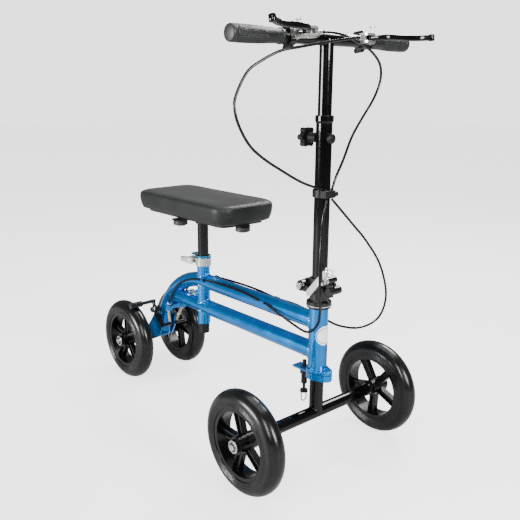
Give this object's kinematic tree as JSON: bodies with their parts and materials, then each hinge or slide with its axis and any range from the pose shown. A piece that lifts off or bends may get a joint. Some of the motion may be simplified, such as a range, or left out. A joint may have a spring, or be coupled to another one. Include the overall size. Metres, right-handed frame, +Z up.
{
  "type": "knee scooter",
  "caption": "Four-wheel knee scooter with a padded knee rest, a folding and telescoping handlebar column, and cable brakes on both rear tyres.",
  "frame": {"origin": "on the ground, at the middle of the bounding box seen from above", "axes": "+X forwards, +Y to the rider's left, +Z up"},
  "size_m": [0.801, 0.443, 0.8484],
  "materials": {
    "frame_blue": "metallic gloss",
    "black_paint": "semi-gloss",
    "black_part": "matte",
    "rim_black": "satin gloss",
    "tyre_rubber": "matte",
    "grip_rubber": "matte",
    "pad_vinyl": "satin",
    "knob_grey": "matte",
    "bright_metal": "polished",
    "cast_silver": "satin",
    "clamp_teal": "anodised satin",
    "steel_wire": "brushed",
    "zinc": "satin"
  },
  "bodies": {
    "frame": {"head_tube": "frame_blue", "top_tube": "frame_blue", "lower_tube": "frame_blue", "seat_tube": "frame_blue", "rear_bracket": "frame_blue", "rear_axle": "black_paint", "rear_axle_caps": "zinc", "head_cups": "black_paint", "seat_clamp": "cast_silver", "seat_clamp_cap": "clamp_teal", "cable_guides": "frame_blue", "cable_adjusters": "cast_silver", "arm_pivot": "zinc", "cables_frame": "black_part", "brake_wires": "steel_wire"},
    "seat": {"seat_post": "black_paint", "post_plug": "black_part", "pad_bracket": "black_paint", "pad_knobs": "knob_grey", "pad_board": "black_part", "knee_pad": "pad_vinyl"},
    "seat_lever": {"seat_lever": "bright_metal"},
    "seat_screw": {"seat_screw": "bright_metal"},
    "steerer": {"steer_stem": "black_paint", "front_axle": "black_paint", "front_axle_caps": "zinc", "steer_plate": "frame_blue", "headset_cap": "black_paint", "fold_base": "black_paint", "fold_pin": "zinc", "plunger_body": "black_part", "cables_middle": "black_part"},
    "plunger": {"plunger_pin": "black_part"},
    "column": {"fold_head": "black_paint", "lower_column": "black_paint", "cable_strap": "black_part", "height_bolt": "black_part"},
    "latch": {"latch_bar": "black_part"},
    "cam_lever": {"cam_lever": "cast_silver"},
    "star_knob": {"star_knob": "black_part"},
    "upper": {"upper_tube": "black_paint", "handlebar": "black_paint", "grips": "grip_rubber", "bar_clamps": "black_paint", "perches": "cast_silver", "cables_upper": "black_part"},
    "lock_pin_right": {"lock_pin_right": "zinc"},
    "lock_pin_left": {"lock_pin_left": "zinc"},
    "lever_right": {"lever_right": "black_paint"},
    "lever_left": {"lever_left": "black_paint"},
    "brake_arm_right": {"brake_arm_right": "black_paint"},
    "brake_arm_left": {"brake_arm_left": "black_paint"},
    "wheel_front_right": {"rim_front_right": "rim_black", "tyre_front_right": "tyre_rubber"},
    "wheel_front_left": {"rim_front_left": "rim_black", "tyre_front_left": "tyre_rubber"},
    "wheel_rear_right": {"rim_rear_right": "rim_black", "tyre_rear_right": "tyre_rubber"},
    "wheel_rear_left": {"rim_rear_left": "rim_black", "tyre_rear_left": "tyre_rubber"}
  },
  "joints": [
    {"name": "steering", "type": "hinge", "parent": "frame", "child": "steerer", "pos_m": [0.299, 0, 0.26], "axis": [0, 0, 1], "range_deg": [-45, 45], "deforming": ["cables_middle"]},
    {"name": "column_fold", "type": "hinge", "parent": "steerer", "child": "column", "pos_m": [0.267, 0, 0.364], "axis": [0, -1, 0], "range_deg": [0, 50]},
    {"name": "bar_height", "type": "slide", "parent": "column", "child": "upper", "axis": [0, 0, 1], "range_m": [-0.09, 0.12], "deforming": ["cables_upper"]},
    {"name": "star_knob_turn", "type": "hinge", "parent": "column", "child": "star_knob", "pos_m": [0.269, 0, 0.648], "axis": [-1, 0, 0], "continuous": true},
    {"name": "latch_swing", "type": "hinge", "parent": "column", "child": "latch", "pos_m": [0.328, 0, 0.385], "axis": [0, -1, 0], "range_deg": [0, 32]},
    {"name": "cam_lever_turn", "type": "hinge", "parent": "latch", "child": "cam_lever", "pos_m": [0.328, 0, 0.385], "axis": [0, 1, 0], "range_deg": [0, 110]},
    {"name": "steering_lock", "type": "slide", "parent": "steerer", "child": "plunger", "axis": [0, 0, 1], "range_m": [0, 0.014]},
    {"name": "seat_height", "type": "slide", "parent": "frame", "child": "seat", "axis": [0, 0, -1], "range_m": [-0.03, 0.06]},
    {"name": "seat_lever_turn", "type": "hinge", "parent": "frame", "child": "seat_lever", "pos_m": [-0.104, -0.019, 0.341], "axis": [0, 0, 1], "range_deg": [0, 150]},
    {"name": "seat_screw_turn", "type": "hinge", "parent": "frame", "child": "seat_screw", "pos_m": [-0.097, -0.02, 0.262], "axis": [-0.7071, -0.7071, 0], "continuous": true},
    {"name": "brake_lever_right", "type": "hinge", "parent": "upper", "child": "lever_right", "pos_m": [0.32823, -0.08, 0.82675], "axis": [0.225, 0, -0.9744], "range_deg": [0, 14], "stiffness_Nm_per_rad": 1.2, "springref_deg": -5.73},
    {"name": "brake_lever_left", "type": "hinge", "parent": "upper", "child": "lever_left", "pos_m": [0.32884, 0.08, 0.82314], "axis": [-0.1045, 0, 0.9945], "range_deg": [0, 14], "stiffness_Nm_per_rad": 1.2, "springref_deg": -5.73},
    {"name": "lock_pin_push_right", "type": "slide", "parent": "upper", "child": "lock_pin_right", "axis": [0.225, 0, -0.9744], "range_m": [0, 0.006], "stiffness_N_per_m": 250, "springref_m": -0.002},
    {"name": "lock_pin_push_left", "type": "slide", "parent": "upper", "child": "lock_pin_left", "axis": [0.1045, 0, -0.9945], "range_m": [0, 0.006], "stiffness_N_per_m": 250, "springref_m": -0.002},
    {"name": "brake_arm_right_turn", "type": "hinge", "parent": "frame", "child": "brake_arm_right", "pos_m": [-0.248, -0.03, 0.184], "axis": [0, -1, 0], "range_deg": [0, 5], "deforming": ["brake_wires"]},
    {"name": "brake_arm_left_turn", "type": "hinge", "parent": "frame", "child": "brake_arm_left", "pos_m": [-0.248, 0.03, 0.184], "axis": [0, -1, 0], "range_deg": [0, 5]},
    {"name": "wheel_front_right_spin", "type": "hinge", "parent": "steerer", "child": "wheel_front_right", "pos_m": [0.299, -0.188, 0.1015], "axis": [0, 1, 0], "continuous": true},
    {"name": "wheel_front_left_spin", "type": "hinge", "parent": "steerer", "child": "wheel_front_left", "pos_m": [0.299, 0.188, 0.1015], "axis": [0, 1, 0], "continuous": true},
    {"name": "wheel_rear_right_spin", "type": "hinge", "parent": "frame", "child": "wheel_rear_right", "pos_m": [-0.299, -0.081, 0.1015], "axis": [0, 1, 0], "continuous": true},
    {"name": "wheel_rear_left_spin", "type": "hinge", "parent": "frame", "child": "wheel_rear_left", "pos_m": [-0.299, 0.081, 0.1015], "axis": [0, 1, 0], "continuous": true}
  ],
  "couplings": [
    {"joint": "brake_arm_right_turn", "follows": "brake_lever_right", "ratio": 0.355},
    {"joint": "brake_arm_left_turn", "follows": "brake_lever_left", "ratio": 0.355}
  ]
}
